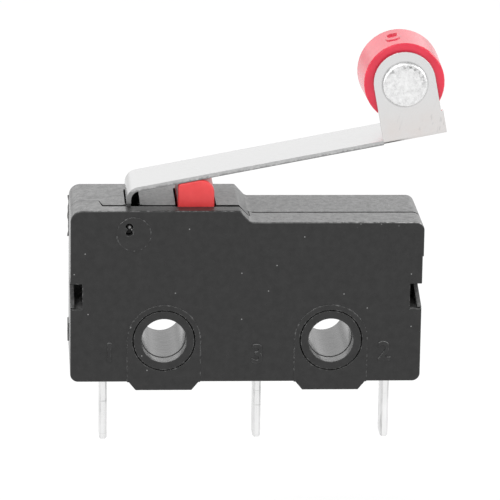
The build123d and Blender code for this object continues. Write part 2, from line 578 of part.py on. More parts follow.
# Lever: one folded sheet with the strip, the tab and its lugs, and the ear
with BuildPart() as lever:
    with BuildSketch(lever_section_at(LEVER_WIDTH / 2)):
        draw_strip(
            (-RISE_SIN * LUG_HEIGHT / 2, -RISE_COS * LUG_HEIGHT / 2),
            (LEVER_MIDDLE * RISE_SIN / RISE_COS, LEVER_MIDDLE),
            (EAR_START, LEVER_MIDDLE),
            width=LEVER_THICKNESS,
            radius=LEVER_BEND_RADIUS - LEVER_THICKNESS / 2,
        )
    extrude(amount=LEVER_WIDTH)
    with BuildSketch(section_at(BACK_FACE)):
        draw_box(
            PIVOT_X - LEVER_THICKNESS, PIVOT_X + LEVER_THICKNESS,
            PIVOT_Z - LUG_HEIGHT, TOP_HEIGHT + TAB_SHOULDER_GAP,
        )
    extrude(amount=BACK_FACE - TAB_WIDTH / 2, mode=Mode.SUBTRACT)
    with BuildSketch(section_at(-TAB_WIDTH / 2)):
        draw_box(
            PIVOT_X - LEVER_THICKNESS, PIVOT_X + LEVER_THICKNESS,
            PIVOT_Z - LUG_HEIGHT, TOP_HEIGHT + TAB_SHOULDER_GAP,
        )
    extrude(amount=BACK_FACE - TAB_WIDTH / 2, mode=Mode.SUBTRACT)
    with BuildSketch(section_at(BACK_PAD - LUG_END_GAP)):
        with Locations((PIVOT_X, PIVOT_Z)):
            Rectangle(LEVER_THICKNESS, LUG_HEIGHT)
    extrude(amount=BODY_THICKNESS - 2 * LUG_END_GAP)

    # The end of the strip with the ear folded up from its front edge, then the ear's outline
    ear_root = Plane(
        origin=(PIVOT_X + RISE_COS * EAR_START, 0, PIVOT_Z + RISE_SIN * EAR_START),
        x_dir=(0, 1, 0),
        z_dir=(RISE_COS, 0, RISE_SIN),
    )
    crown_centre = ROLLER_ABOVE + EAR_CROWN_RISE
    ear_top = crown_centre + EAR_WIDTH / 2
    with BuildSketch(ear_root):
        draw_strip(
            (LEVER_WIDTH / 2, LEVER_MIDDLE),
            (EAR_OUTSIDE + LEVER_THICKNESS / 2, LEVER_MIDDLE),
            (EAR_OUTSIDE + LEVER_THICKNESS / 2, ear_top),
            width=LEVER_THICKNESS,
            radius=EAR_BEND_RADIUS - LEVER_THICKNESS / 2,
        )
    extrude(amount=EAR_WIDTH + EAR_ROOT_STEP)
    with BuildSketch(lever_section_at(EAR_INSIDE + LEVER_THICKNESS / 4)):
        root_top = LEVER_HEIGHT + EAR_ROOT_HEIGHT
        draw_box(EAR_START - BEYOND, EAR_END + BEYOND, root_top, ear_top + BEYOND)
        with Locations((ROLLER_ALONG, crown_centre)):
            Circle(EAR_WIDTH / 2, mode=Mode.SUBTRACT)
            Rectangle(
                EAR_WIDTH, crown_centre - root_top,
                align=(Align.CENTER, Align.MAX), mode=Mode.SUBTRACT,
            )
        with Locations((ROLLER_ALONG, ROLLER_ABOVE)):
            Circle(RIVET_SHANK_DIAMETER / 2 + EAR_HOLE_GAP)
    extrude(amount=2 * LEVER_THICKNESS, mode=Mode.SUBTRACT)
lever.part.label = "lever"

# Roller
with BuildPart() as roller:
    roller_section = Plane(
        origin=lever_section_at(ROLLER_BACK).from_local_coords((ROLLER_ALONG, ROLLER_ABOVE, 0)),
        x_dir=(0, -1, 0),
        z_dir=(RISE_COS, 0, RISE_SIN),
    )
    bore_radius = RIVET_SHANK_DIAMETER / 2 + ROLLER_BORE_GAP
    back_radius = ROLLER_DIAMETER / 2
    front_radius = back_radius - ROLLER_WIDTH * tan(radians(ROLLER_DRAFT))
    with BuildSketch(roller_section):
        draw_outline(
            (0, bore_radius),
            (0, back_radius - ROLLER_CHAMFER),
            (ROLLER_CHAMFER, back_radius),
            (ROLLER_WIDTH - ROLLER_CHAMFER, front_radius),
            (ROLLER_WIDTH, front_radius - ROLLER_CHAMFER),
            (ROLLER_WIDTH, bore_radius),
        )
    revolve(axis=Axis(roller_section.origin, roller_section.x_dir))
roller.part.label = "roller"

# Roller rivet: tail behind the roller, shank, and the head staked over the ear
with BuildPart() as roller_rivet:
    tail_front = ROLLER_BACK + RIVET_TAIL_GAP
    with BuildSketch(lever_section_at(tail_front + RIVET_TAIL_HEIGHT)):
        with Locations((ROLLER_ALONG, ROLLER_ABOVE)):
            Circle(RIVET_TAIL_DIAMETER / 2)
    extrude(amount=RIVET_TAIL_HEIGHT)
    with BuildSketch(lever_section_at(tail_front)):
        with Locations((ROLLER_ALONG, ROLLER_ABOVE)):
            Circle(RIVET_SHANK_DIAMETER / 2)
    extrude(amount=tail_front - EAR_OUTSIDE)
    with BuildSketch(lever_section_at(EAR_OUTSIDE)):
        with Locations((ROLLER_ALONG, ROLLER_ABOVE)):
            Circle(RIVET_HEAD_DIAMETER / 2)
    extrude(amount=RIVET_HEAD_HEIGHT)
    ends = roller_rivet.faces().sort_by(Axis.Y)
    fillet([ends[0].edges()[0], ends[-1].edges()[0]], RIVET_HEAD_EDGE)
roller_rivet.part.label = "roller_rivet"


def round_pin_tip(terminal):
    """Rounds the corners of a pin's free end and breaks its long edges there."""
    tip = terminal.faces().sort_by(Axis.Z)[0]
    fillet(tip.edges().filter_by(Axis.X), PIN_TIP_RADIUS)
    tip = terminal.faces().sort_by(Axis.Z)[0]
    chamfer(tip.edges().filter_by(Axis.Y), PIN_TIP_CHAMFER)


# Common terminal: the pin widens inside to two legs, and the tongue between them is bent out
with BuildPart() as common_terminal:
    leg_top = BLADE_Z + LEG_RISE
    shoulder = GRIP_TOP + GRIP_SHOULDER_GAP
    with BuildSketch(Plane.YZ.offset(COMMON_X - PIN_THICKNESS / 2)):
        draw_box(-PIN_WIDTH / 2, PIN_WIDTH / 2, PIN_BOTTOM - COMMON_PIN_EXTRA, leg_top)
        draw_box(-LEG_SHOULDER_WIDTH / 2, LEG_SHOULDER_WIDTH / 2, shoulder, leg_top)
        fork = TONGUE_WIDTH / 2 + LEG_GAP
        with Locations((0, TONGUE_Z)):
            Rectangle(2 * fork, leg_top, align=(Align.CENTER, Align.MIN), mode=Mode.SUBTRACT)
    extrude(amount=PIN_THICKNESS)
    round_pin_tip(common_terminal)
    with BuildSketch(section_at(TONGUE_WIDTH / 2)):
        draw_strip(
            (COMMON_X, shoulder),
            (COMMON_X, TONGUE_Z),
            (POST_X, TONGUE_Z),
            (POST_X, BLADE_Z - POST_TOP_BELOW_BLADE),
        )
    extrude(amount=TONGUE_WIDTH)
    with BuildSketch(section_at(LEG_SHOULDER_WIDTH)):
        with Locations((LEG_FACE_X - HOOK_DEPTH, BLADE_Z)):
            Rectangle(HOOK_DEPTH + BEYOND, HOOK_HEIGHT, align=(Align.MIN, Align.CENTER))
    extrude(amount=2 * LEG_SHOULDER_WIDTH, mode=Mode.SUBTRACT)
common_terminal.part.label = "common_terminal"

# Normally open terminal: a strip bent to the right under the moving contact
with BuildPart() as normally_open_terminal:
    with BuildSketch(section_at(PIN_WIDTH / 2)):
        draw_strip(
            (OPEN_X, PIN_BOTTOM),
            (OPEN_X, OPEN_STRIP_Z),
            (CONTACT_X + CONTACT_DIAMETER / 2, OPEN_STRIP_Z),
        )
    extrude(amount=PIN_WIDTH)
    round_pin_tip(normally_open_terminal)
    with Locations((CONTACT_X, 0, OPEN_STRIP_Z)):
        Cylinder(CONTACT_SHANK_DIAMETER / 2 + CONTACT_SHANK_GAP, 2 * PIN_THICKNESS, mode=Mode.SUBTRACT)
normally_open_terminal.part.label = "normally_open_terminal"

# Normally closed terminal: a strip bent to the left over the moving contact
with BuildPart() as normally_closed_terminal:
    with BuildSketch(section_at(PIN_WIDTH / 2)):
        draw_strip(
            (CLOSED_X, PIN_BOTTOM),
            (CLOSED_X, CLOSED_STRIP_Z),
            (CONTACT_X - CONTACT_DIAMETER / 2, CLOSED_STRIP_Z),
        )
    extrude(amount=PIN_WIDTH)
    round_pin_tip(normally_closed_terminal)
    with Locations((CONTACT_X, 0, CLOSED_STRIP_Z)):
        Cylinder(CONTACT_SHANK_DIAMETER / 2 + CONTACT_SHANK_GAP, 2 * PIN_THICKNESS, mode=Mode.SUBTRACT)
normally_closed_terminal.part.label = "normally_closed_terminal"

# Fixed contacts: a head towards the moving contact and a shank flush with the strip's far face
with BuildPart() as normally_open_contact:
    with BuildSketch(Plane.XY.offset(OPEN_STRIP_Z - PIN_THICKNESS / 2)):
        with Locations((CONTACT_X, 0)):
            Circle(CONTACT_SHANK_DIAMETER / 2)
    extrude(amount=PIN_THICKNESS)
    with BuildSketch(Plane.XY.offset(OPEN_STRIP_Z + PIN_THICKNESS / 2)):
        with Locations((CONTACT_X, 0)):
            Circle(CONTACT_DIAMETER / 2)
    extrude(amount=FIXED_CONTACT_HEIGHT)
normally_open_contact.part.label = "normally_open_contact"

with BuildPart() as normally_closed_contact:
    with BuildSketch(Plane.XY.offset(CLOSED_STRIP_Z - PIN_THICKNESS / 2)):
        with Locations((CONTACT_X, 0)):
            Circle(CONTACT_SHANK_DIAMETER / 2)
    extrude(amount=PIN_THICKNESS)
    with BuildSketch(Plane.XY.offset(CLOSED_STRIP_Z - PIN_THICKNESS / 2 - FIXED_CONTACT_HEIGHT)):
        with Locations((CONTACT_X, 0)):
            Circle(CONTACT_DIAMETER / 2)
    extrude(amount=FIXED_CONTACT_HEIGHT)
normally_closed_contact.part.label = "normally_closed_contact"

# Moving contact: a head on each side of the blade
with BuildPart() as moving_contact:
    with BuildSketch(Plane.XY.offset(MOVING_BOTTOM)):
        with Locations((CONTACT_X, 0)):
            Circle(CONTACT_DIAMETER / 2)
    extrude(amount=MOVING_CONTACT_BOTTOM)
    with BuildSketch(Plane.XY.offset(BLADE_BOTTOM)):
        with Locations((CONTACT_X, 0)):
            Circle(CONTACT_SHANK_DIAMETER / 2)
    extrude(amount=BLADE_THICKNESS)
    with BuildSketch(Plane.XY.offset(BLADE_TOP)):
        with Locations((CONTACT_X, 0)):
            Circle(CONTACT_DIAMETER / 2)
    extrude(amount=MOVING_CONTACT_TOP)
moving_contact.part.label = "moving_contact"

# Moving blade: a flat leaf with a window for the snap spring
with BuildPart() as moving_blade:
    blade_right = CONTACT_X + BLADE_OVERHANG
    with BuildSketch(Plane.XY.offset(BLADE_BOTTOM)):
        draw_outline(
            (BLADE_LEFT, -BLADE_WIDTH / 2),
            (WINDOW_RIGHT, -BLADE_WIDTH / 2),
            (CONTACT_X - CONTACT_DIAMETER, -BLADE_TIP_WIDTH / 2),
            (blade_right, -BLADE_TIP_WIDTH / 2),
            (blade_right, BLADE_TIP_WIDTH / 2),
            (CONTACT_X - CONTACT_DIAMETER, BLADE_TIP_WIDTH / 2),
            (WINDOW_RIGHT, BLADE_WIDTH / 2),
            (BLADE_LEFT, BLADE_WIDTH / 2),
        )
        with Locations(((WINDOW_LEFT + WINDOW_RIGHT) / 2, 0)):
            Rectangle(WINDOW_RIGHT - WINDOW_LEFT, BLADE_WINDOW_WIDTH, mode=Mode.SUBTRACT)
        with Locations((CONTACT_X, 0)):
            Circle(CONTACT_SHANK_DIAMETER / 2 + CONTACT_SHANK_GAP, mode=Mode.SUBTRACT)
    extrude(amount=BLADE_THICKNESS)
moving_blade.part.label = "moving_blade"

# Snap spring: a bowed leaf from the common terminal's post to the end of the blade's window
with BuildPart() as snap_spring:
    spring_start = (POST_X + PIN_THICKNESS / 2 + SPRING_END_GAP, BLADE_Z - SPRING_LEFT_DROP)
    spring_end = (WINDOW_RIGHT - SPRING_END_GAP, BLADE_Z)
    with BuildSketch(section_at(SPRING_WIDTH / 2)):
        with BuildLine():
            SagittaArc(spring_start, spring_end, -SPRING_BOW)
        trace(line_width=SPRING_THICKNESS)
    extrude(amount=SPRING_WIDTH)
snap_spring.part.label = "snap_spring"

PIECES = [
    case, cover, plunger, lever, roller, roller_rivet,
    common_terminal, normally_open_terminal, normally_closed_terminal,
    normally_open_contact, normally_closed_contact, moving_contact, moving_blade, snap_spring,
]
os.makedirs("parts", exist_ok=True)
for piece in PIECES:
    export_step(piece.part, f"parts/{piece.part.label}.step")
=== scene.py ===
"""Looks of the roller-lever micro switch: materials, small moulded details, light and camera."""
import json
from math import cos, pi, radians, sin

import bmesh
import bpy
from mathutils import Matrix, Vector


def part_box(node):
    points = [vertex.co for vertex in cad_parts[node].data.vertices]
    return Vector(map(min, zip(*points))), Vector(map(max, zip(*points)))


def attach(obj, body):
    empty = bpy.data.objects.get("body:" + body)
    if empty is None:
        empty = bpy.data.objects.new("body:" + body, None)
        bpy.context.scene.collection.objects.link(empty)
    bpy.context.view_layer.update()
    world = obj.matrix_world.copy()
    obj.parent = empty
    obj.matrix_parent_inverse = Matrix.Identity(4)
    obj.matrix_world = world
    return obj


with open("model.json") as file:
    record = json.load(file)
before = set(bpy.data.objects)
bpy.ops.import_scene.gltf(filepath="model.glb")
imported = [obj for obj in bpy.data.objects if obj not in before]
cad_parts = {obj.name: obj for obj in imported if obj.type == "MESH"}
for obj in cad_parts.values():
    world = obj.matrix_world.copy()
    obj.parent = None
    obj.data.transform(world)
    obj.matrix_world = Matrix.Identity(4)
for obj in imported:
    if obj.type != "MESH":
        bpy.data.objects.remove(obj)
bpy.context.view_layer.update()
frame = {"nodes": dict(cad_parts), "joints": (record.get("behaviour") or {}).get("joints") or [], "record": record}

MM = 0.001

# Camera of the photograph, in millimetres and degrees
CAMERA_TARGET = (0.062, -3.2, 5.329)
CAMERA_DISTANCE = 216.2
CAMERA_ELEVATION = 15.27
CAMERA_TO_THE_LEFT = 3.73
CAMERA_ROLL = 0.87
CAMERA_NEAREST = 10.0
CAMERA_FARTHEST = 10000.0
FOCAL_LENGTH_PX = 3832.1
FRAME_WIDTH_PX = 500
SENSOR_WIDTH = 36.0

# Stage and light, in millimetres
FLOOR_BELOW_PINS = 10.0
FLOOR_SIZE = 3000.0
FLOOR_COLOUR = 0.86
SHOWN_WHITE = 1.16
SHOWN_SHARE = 0.5
SKY_LIGHT = 0.66
LAMPS = {
    "key": {"place": (-110, -220, 250), "size": (220, 220), "level": 0.42},
    "fill": {"place": (200, -160, 130), "size": (160, 160), "level": 0.15},
    "left": {"place": (-300, 40, 90), "size": (120, 160), "level": 0.26},
    "right": {"place": (300, 10, 170), "size": (120, 120), "level": 0.3},
    "back": {"place": (0, 300, 90), "size": (420, 130), "level": 0.065},
}


def find(items, name):
    """The item of a list that has a name."""
    return next(item for item in items if item["name"] == name)


# Where the driving parts and the holes lie, in millimetres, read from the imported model
PIVOT = Vector(find(frame["joints"], "lever_hinge")["pos_m"]) / MM
ROLLER_CENTRE = Vector(find(frame["joints"], "roller_spin")["pos_m"]) / MM
HOLES = find(frame["record"]["mounts"], "mounting_holes")["dims"]
HOLE_X = HOLES["spacing_x_mm"] / 2
BORE_RADIUS = HOLES["hole_r_mm"]

# Sizes that the CAD source has too, in millimetres and degrees
LEVER_RISE = 11.0
LEVER_HEIGHT = 1.82
LEVER_THICKNESS = 0.25
LUG_END_Y = -2.95
EAR_START = 15.0
ROLLER_MIDDLE_RADIUS = 2.324
ROLLER_DRAFT = 1.5
RIVET_HEAD_RADIUS = 1.26
HOUSING_TOP = 7.59
LOW_TOP = 6.92
BODY_LEFT = -10.06
SLOT_LEFT = -6.96
SLOPE_X = -0.4
TONGUE_SEAM_Y = -1.78
SEAM_GROOVE_WIDTH = 0.18

# How far a mask reaches past the surface it is meant for
SURFACE_MARGIN = 0.01

# Parts of a noise's range that are spread over a whole change of look
MOST_OF_NOISE = (0.3, 0.7)
MIDDLE_OF_NOISE = (0.35, 0.65)
CHIPPED_OF_NOISE = (0.46, 0.62)

BEVEL_SAMPLES = 6
SHARP_EDGE_MATCH = (0.995, 0.85)


def add_node(tree, kind, inputs=None, **settings):
    """Adds a node, sets its properties, and sets or links its inputs."""
    made = tree.nodes.new(kind)
    for key, value in settings.items():
        setattr(made, key, value)
    for key, value in (inputs or {}).items():
        if isinstance(value, bpy.types.NodeSocket):
            tree.links.new(value, made.inputs[key])
        else:
            made.inputs[key].default_value = value
    return made


def start_material(name):
    """An empty material with a principled shader, and a position in millimetres to drive it."""
    material = bpy.data.materials.new(name)
    material.use_nodes = True
    tree = material.node_tree
    tree.nodes.clear()
    shader = add_node(tree, "ShaderNodeBsdfPrincipled")
    output = add_node(tree, "ShaderNodeOutputMaterial")
    tree.links.new(shader.outputs["BSDF"], output.inputs["Surface"])
    place = add_node(tree, "ShaderNodeTexCoord").outputs["Object"]
    in_mm = add_node(tree, "ShaderNodeVectorMath", {0: place, "Scale": 1 / MM}, operation="SCALE")
    return material, tree, shader, in_mm.outputs["Vector"]


def plug_in(tree, shader, colour, roughness, normal, metallic=0.0):
    """Gives the shader its colour, roughness and normal."""
    tree.links.new(colour, shader.inputs["Base Color"])
    tree.links.new(roughness, shader.inputs["Roughness"])
    tree.links.new(normal, shader.inputs["Normal"])
    shader.inputs["Metallic"].default_value = metallic


def stretch(tree, position, scale, rotation=(0, 0, 0)):
    """The position turned and then scaled along each axis."""
    turned = add_node(
        tree, "ShaderNodeMapping", {"Vector": position, "Rotation": rotation}, vector_type="TEXTURE"
    )
    scaled = add_node(
        tree, "ShaderNodeMapping", {"Vector": turned.outputs["Vector"], "Scale": scale}
    )
    return scaled.outputs["Vector"]


def noise(tree, position, scale, detail=3.0, roughness=0.55):
    """Fractal noise between about 0 and 1."""
    made = add_node(
        tree, "ShaderNodeTexNoise",
        {"Vector": position, "Scale": scale, "Detail": detail, "Roughness": roughness},
    )
    return made.outputs["Fac"]


def remap(tree, value, low, high, to_low=0.0, to_high=1.0):
    """The value's range from low to high, carried over to another range and clamped."""
    made = add_node(
        tree, "ShaderNodeMapRange",
        {"Value": value, "From Min": low, "From Max": high, "To Min": to_low, "To Max": to_high},
    )
    return made.outputs["Result"]


def calculate(tree, operation, first, second=0.5):
    """One step of arithmetic. The second number is left unused where one is enough."""
    made = add_node(tree, "ShaderNodeMath", {0: first, 1: second}, operation=operation)
    return made.outputs["Value"]


def calculate_vector(tree, operation, first, second=(0, 0, 0), output="Vector"):
    """One step of vector arithmetic. The second vector is left unused where one is enough."""
    made = add_node(tree, "ShaderNodeVectorMath", {0: first, 1: second}, operation=operation)
    return made.outputs[output]


def is_over(tree, value, limit):
    """1 where the value is above the limit and 0 elsewhere."""
    return calculate(tree, "GREATER_THAN", value, limit)


def is_under(tree, value, limit):
    """1 where the value is below the limit and 0 elsewhere."""
    return calculate(tree, "LESS_THAN", value, limit)


def multiply(tree, *factors):
    """The product of masks or numbers, which is where all the masks hold."""
    result = factors[0]
    for factor in factors[1:]:
        result = calculate(tree, "MULTIPLY", result, factor)
    return result


def mix_values(tree, factor, first, second):
    """A blend of two numbers."""
    return add_node(tree, "ShaderNodeMix", {0: factor, 2: first, 3: second}).outputs[0]


def mix_colours(tree, factor, first, second):
    """A blend of two colours."""
    made = add_node(tree, "ShaderNodeMix", data_type="RGBA")
    for index, value in ((0, factor), (6, first), (7, second)):
        if isinstance(value, bpy.types.NodeSocket):
            tree.links.new(value, made.inputs[index])
        else:
            made.inputs[index].default_value = value
    return made.outputs[2]


def grey(level):
    """A grey with its alpha."""
    return (level, level, level, 1.0)


def greys(levels):
    """The greys of a table of levels."""
    return {name: grey(level) for name, level in levels.items()}


def bump(tree, height, depth, strength, under=None):
    """A normal that follows a height map. The depth is in millimetres."""
    inputs = {"Height": height, "Distance": depth * MM, "Strength": strength}
    if under is not None:
        inputs["Normal"] = under
    return add_node(tree, "ShaderNodeBump", inputs).outputs["Normal"]


def soften_edges(tree, radius):
    """A normal that rounds sharp edges over a radius in millimetres."""
    made = add_node(tree, "ShaderNodeBevel", {"Radius": radius * MM}, samples=BEVEL_SAMPLES)
    return made.outputs["Normal"]


def edge_mask(tree, radius):
    """1 along sharp edges and 0 elsewhere."""
    rounded = soften_edges(tree, radius)
    plain = add_node(tree, "ShaderNodeNewGeometry").outputs["Normal"]
    match = calculate_vector(tree, "DOT_PRODUCT", rounded, plain, "Value")
    return remap(tree, match, *SHARP_EDGE_MATCH)


def specks(tree, position, scale, size, share):
    """1 on small scattered dots: the share of cells that have one, and their size in cells."""
    cells = add_node(
        tree, "ShaderNodeTexVoronoi", {"Vector": position, "Scale": scale}, voronoi_dimensions="2D"
    )
    dot = remap(tree, cells.outputs["Distance"], size / 2, size, 1.0, 0.0)
    pick = add_node(tree, "ShaderNodeSeparateColor", {"Color": cells.outputs["Color"]})
    return multiply(tree, dot, is_under(tree, pick.outputs["Red"], share))


def distance_from_axis(tree, position, centre, mirrored=False):
    """Distance from an axis along Y through the centre, or from a pair on both sides of 0."""
    if mirrored:
        position = calculate_vector(tree, "ABSOLUTE", position)
    offset = calculate_vector(tree, "SUBTRACT", position, centre)
    flat = calculate_vector(tree, "MULTIPLY", offset, (1, 0, 1))
    return calculate_vector(tree, "LENGTH", flat, output="Value")


def height_along(tree, position, direction, origin):
    """How far the position lies from the origin along a direction."""
    offset = calculate_vector(tree, "SUBTRACT", position, origin)
    return calculate_vector(tree, "DOT_PRODUCT", offset, direction, "Value")


def split(tree, vector):
    """The three parts of a vector."""
    return add_node(tree, "ShaderNodeSeparateXYZ", {"Vector": vector}).outputs


def surface_normal(tree):
    """The three parts of the surface's own direction."""
    return split(tree, add_node(tree, "ShaderNodeNewGeometry").outputs["Normal"])


# Black moulding: its grey levels, and the places and directions where its look changes
HOUSING_GREYS = {
    "dark skin": 0.006, "light skin": 0.012, "dusty top": 0.165, "dust speck": 0.6,
    "torn stub": 0.22, "worn edge": 0.17, "chip": 0.42, "fleck": 0.3, "bore": 0.045,
}
SHADED_STRIP_ABOVE = HOUSING_TOP - 0.2
WEAR_AND_HIGHLIGHT_FRONT_Y = (-2.85, -2.95)
CHIPPED_FRONT_Y = -3.0
CHIPPED_RIGHT_X = (4.0, 8.0)
FLECKED_RIGHT_X = 4.2
FLECKED_Z = (LOW_TOP - 0.35, LOW_TOP - 0.05)
BORE_MARGIN = 0.035
DUST_AND_SHEEN_FACES_UP = (0.4, 0.75)
ROUND_STARTS = (0.45, 0.65)
ROUND_STOPS = (0.99, 0.9)
END_FACES_OUT = 0.9
SPECK_TURN = (pi / 2, 0, radians(20))
SMOOTH_ROUGHNESS = 0.16
SHADED_STRIP_ROUGHNESS = 0.4


def housing_plastic():
    """Fine matt black moulding: dust with a painted sheen on what faces up, a rougher strip left in painted shade
    under the lever, mottled skin, front edges with wear and a painted highlight, smooth bores painted lighter as a
    painted reflection.
    """
    material, tree, shader, position = start_material("housing_plastic")
    tones = greys(HOUSING_GREYS)
    x, y, z = split(tree, position)
    facing = surface_normal(tree)
    grain = noise(tree, position, 5.0, 4.0, 0.65)
    mottle = noise(tree, position, 2.2, 3.0, 0.6)
    mottled = remap(tree, mottle, *MIDDLE_OF_NOISE)
    colour = mix_colours(tree, mottled, tones["dark skin"], tones["light skin"])

    # The thin strip of the cover in front of the lever slot and the plunger is rougher, and it is kept free of the
    # tops' dust and painted sheen, which leaves painted shade under the lever
    in_front = is_under(tree, y, TONGUE_SEAM_Y - SEAM_GROOVE_WIDTH)
    beside_slot = multiply(tree, is_over(tree, x, SLOT_LEFT), is_under(tree, x, SLOPE_X))
    rough_shaded_strip = multiply(tree, in_front, beside_slot, is_over(tree, z, SHADED_STRIP_ABOVE))

    # What faces up gets blotches of dust that also carry a painted sheen, and single specks of dust lie everywhere
    blotches = noise(tree, stretch(tree, position, (1.0, 0.7, 1.0)), 3.2, 4.0, 0.7)
    facing_up = remap(tree, facing["Z"], *DUST_AND_SHEEN_FACES_UP)
    outside_shaded_strip = calculate(tree, "SUBTRACT", 1.0, rough_shaded_strip)
    dust_and_sheen = multiply(tree, facing_up, remap(tree, blotches, *MOST_OF_NOISE, 0.1, 1.0), outside_shaded_strip)
    colour = mix_colours(tree, dust_and_sheen, colour, tones["dusty top"])
    slanted = add_node(
        tree, "ShaderNodeMapping", {"Vector": position, "Rotation": SPECK_TURN}, vector_type="POINT"
    ).outputs["Vector"]
    dust = multiply(tree, specks(tree, slanted, 1.0, 0.045, 0.1), 0.4)
    colour = mix_colours(tree, dust, colour, tones["dust speck"])

    # What stands out of the left end is torn, and the front edges carry wear with a painted highlight
    beyond_end = is_under(tree, x, BODY_LEFT - SURFACE_MARGIN)
    torn_stub = multiply(tree, beyond_end, remap(tree, grain, 0.4, 0.6, 0.4, 1.0))
    colour = mix_colours(tree, torn_stub, colour, tones["torn stub"])
    front_edge = remap(tree, y, *WEAR_AND_HIGHLIGHT_FRONT_Y, 0.1, 1.0)
    wear_and_highlight = multiply(tree, edge_mask(tree, 0.08), remap(tree, grain, 0.5, 0.6), front_edge)
    colour = mix_colours(tree, wear_and_highlight, colour, tones["worn edge"])

    # The rounded edge between the top and the front is chipped, most of all at the right end
    at_front = is_under(tree, y, CHIPPED_FRONT_Y)
    round_starts = remap(tree, facing["Z"], *ROUND_STARTS)
    round_stops = remap(tree, facing["Z"], *ROUND_STOPS)
    on_round = multiply(tree, round_starts, round_stops)
    chips = remap(tree, noise(tree, position, 3.6, 4.0, 0.75), *CHIPPED_OF_NOISE)
    to_the_right = remap(tree, x, *CHIPPED_RIGHT_X, 0.3, 1.0)
    chipped = multiply(tree, at_front, on_round, chips, to_the_right)
    colour = mix_colours(tree, chipped, colour, tones["chip"])
    dots = specks(tree, slanted, 4.5, 0.2, 0.22)
    flecks = multiply(tree, at_front, dots, is_over(tree, x, FLECKED_RIGHT_X))
    flecks = multiply(tree, flecks, remap(tree, z, *FLECKED_Z, 0.0, 0.6))
    colour = mix_colours(tree, flecks, colour, tones["fleck"])

    # The bores are smooth and painted a lighter grey, a painted reflection, and the ends smoother than the broad
    # faces
    bore = distance_from_axis(tree, position, (HOLE_X, 0, 0), mirrored=True)
    in_bore = is_under(tree, bore, BORE_RADIUS + BORE_MARGIN)
    colour = mix_colours(tree, in_bore, colour, tones["bore"])
    at_ends = is_over(tree, calculate(tree, "ABSOLUTE", facing["X"]), END_FACES_OUT)
    smooth = calculate(tree, "MAXIMUM", in_bore, multiply(tree, at_ends, 0.4))
    skin = remap(tree, grain, *MOST_OF_NOISE, 0.26, 0.38)
    roughness = mix_values(tree, smooth, skin, SMOOTH_ROUGHNESS)
    roughness = mix_values(tree, rough_shaded_strip, roughness, SHADED_STRIP_ROUGHNESS)
    rolling = multiply(tree, mottle, remap(tree, at_ends, 0.0, 1.0, 1.0, 0.3))
    normal = bump(tree, rolling, 0.03, 0.3, soften_edges(tree, 0.025))
    normal = bump(tree, grain, 0.02, 0.35, normal)
    plug_in(tree, shader, colour, roughness, normal)
    shader.inputs["IOR"].default_value = 1.46
    shader.inputs["Sheen Weight"].default_value = 0.03
    return material


# Red mouldings: what their specks and their depth look like
RED_SPECK = 0.8
RED_DEPTH = 0.35
RED_DEPTH_SHARE = 0.12
RED_DEPTH_PER_COLOUR = (1.0, 0.25, 0.2)


def red_plastic(name, deep, pale, roughness):
    """Satin red moulding with a faint cloudiness and fine grain."""
    material, tree, shader, position = start_material(name)
    cloud = noise(tree, position, 0.8)
    grain = noise(tree, position, 9.0)
    colour = mix_colours(tree, remap(tree, cloud, *MOST_OF_NOISE), deep, pale)
    dust = multiply(tree, specks(tree, position, 1.6, 0.06, 0.08), 0.5)
    colour = mix_colours(tree, dust, colour, grey(RED_SPECK))
    skin = remap(tree, grain, *MOST_OF_NOISE, roughness, roughness + 0.1)
    normal = bump(tree, cloud, 0.02, 0.12, soften_edges(tree, 0.06))
    normal = bump(tree, grain, 0.004, 0.12, normal)
    plug_in(tree, shader, colour, skin, normal)
    shader.inputs["Subsurface Weight"].default_value = RED_DEPTH_SHARE
    shader.inputs["Subsurface Radius"].default_value = RED_DEPTH_PER_COLOUR
    shader.inputs["Subsurface Scale"].default_value = RED_DEPTH * MM
    return material


# Lever: its grey levels, and the places and directions where its look changes
STEEL_GREYS = {
    "dark line": 0.535, "light line": 0.555, "ear": 0.665, "scratch": 0.38, "round rivet": 0.3,
    "cut edge": 0.36, "torn edge": 0.16, "sharp edge": 0.25, "lug end": 0.02,
}
EAR_LOW_TONE = (0.66, 0.615, 0.595, 1.0)
EAR_MARGIN = 0.05
LOW_TONE_TOP = 2.6
SCRATCH_LEAN = radians(14)
RIVET_SHADOW_WIDTH = 0.1
TORN_SHARES = (0.12, 0.5)
SIDE_FACES_OUT = 0.8
ROOT_FACES_OUT = 0.3
BRIGHT_SPOT = Vector((0.03, 0, 0.1))
BRIGHT_SPOT_RADII = (0.06, 0.1)


